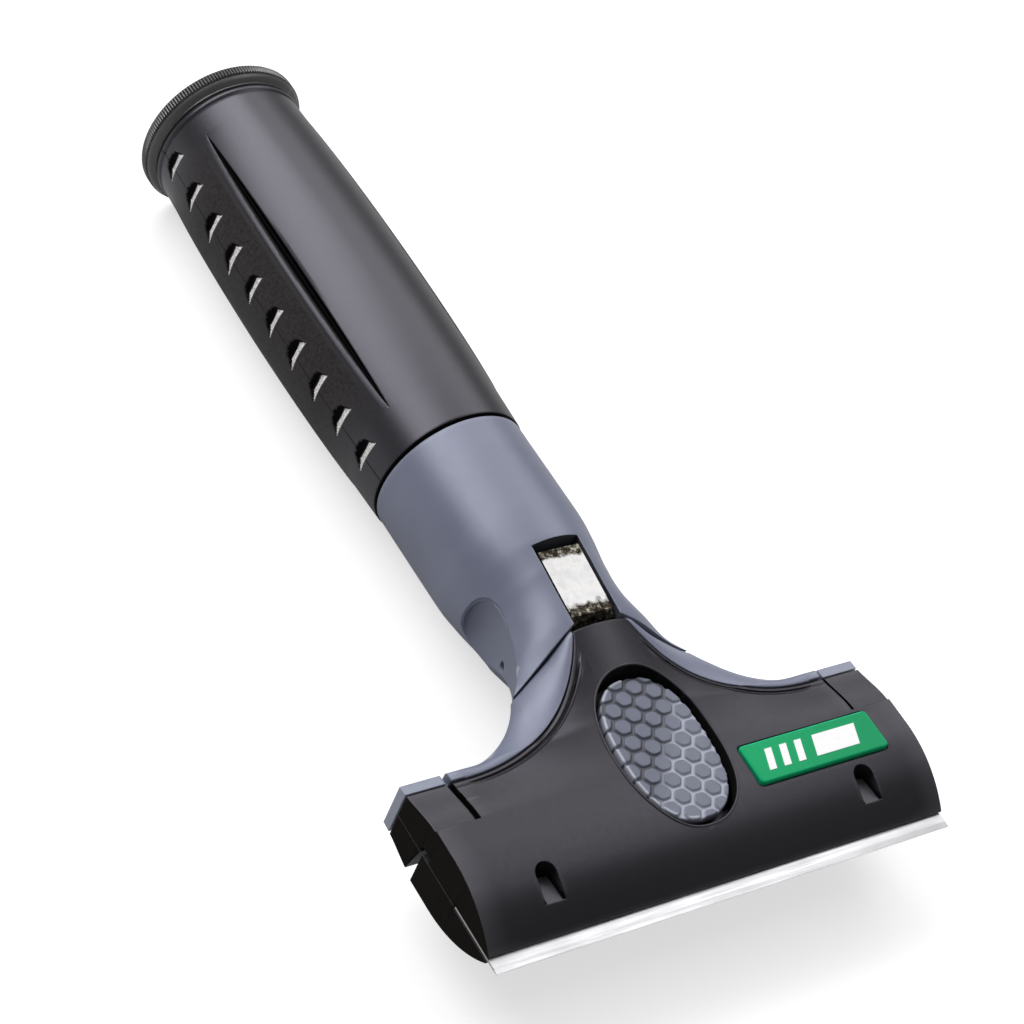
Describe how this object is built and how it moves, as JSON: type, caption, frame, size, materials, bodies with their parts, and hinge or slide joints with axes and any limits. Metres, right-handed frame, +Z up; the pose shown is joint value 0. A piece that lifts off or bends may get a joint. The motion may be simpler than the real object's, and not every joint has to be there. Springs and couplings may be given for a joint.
{
  "type": "hand scraper",
  "caption": "Straight-blade hand scraper: a wide clamping head with a honeycomb push button, a waisted neck and a hollow soft-gripped handle with a pole socket.",
  "frame": {"origin": "centre of the bounding box in plan, on the lowest plane of the tool, under the end ring's rim", "axes": "+X along the blade, +Y from the cutting edge to the handle's end, +Z up towards the button side"},
  "size_m": [0.1002, 0.2004, 0.0352],
  "materials": {
    "blue_grey_plastic": "fine satin blue-grey moulded plastic",
    "black_plastic": "black moulded plastic with a soft sheen",
    "grip_rubber": "smooth near-black rubber",
    "ring_plastic": "black moulded plastic, knurled rim",
    "pad_rubber": "blue-grey rubber with raised cells",
    "blade_steel": "satin steel with a ground edge",
    "spring_steel": "bright spring steel",
    "badge_green": "glossy green plastic"
  },
  "bodies": {
    "handle": {"neck_body": "blue_grey_plastic", "grip_sleeve": "grip_rubber", "end_ring": "ring_plastic", "head_frame": "blue_grey_plastic", "tenon_pin": "spring_steel", "leaf_spring": "spring_steel", "leaf_rivet": "spring_steel", "upper_shell": "black_plastic", "badge_plate": "badge_green", "lower_cover": "black_plastic", "cover_screw_left": "spring_steel", "cover_screw_right": "spring_steel", "hinge_pin_left": "spring_steel", "hinge_pin_right": "spring_steel", "jaw_spring_left": "spring_steel", "jaw_spring_right": "spring_steel", "button_spring": "spring_steel"},
    "jaw": {"lower_jaw": "black_plastic"},
    "button": {"button_pad": "pad_rubber", "button_stem": "black_plastic"},
    "blade_body": {"blade": "blade_steel"}
  },
  "joints": [
    {"name": "button_press", "type": "slide", "parent": "handle", "child": "button", "axis": [0, 0, -1], "range_m": [0, 0.0015], "stiffness_N_per_m": 2000, "springref_m": -0.001, "deforming": ["button_spring"]},
    {"name": "jaw_open", "type": "hinge", "parent": "handle", "child": "jaw", "pos_m": [0, -0.0756, 0.0193], "axis": [1, 0, 0], "range_deg": [0, 13.1], "deforming": ["jaw_spring_left", "jaw_spring_right"]},
    {"name": "blade_slide", "type": "slide", "parent": "handle", "child": "blade_body", "axis": [0, -1, 0], "range_m": [0, 0.014]}
  ],
  "couplings": [
    {"joint": "jaw_open", "follows": "button_press", "rad_per_m": 151.5}
  ]
}
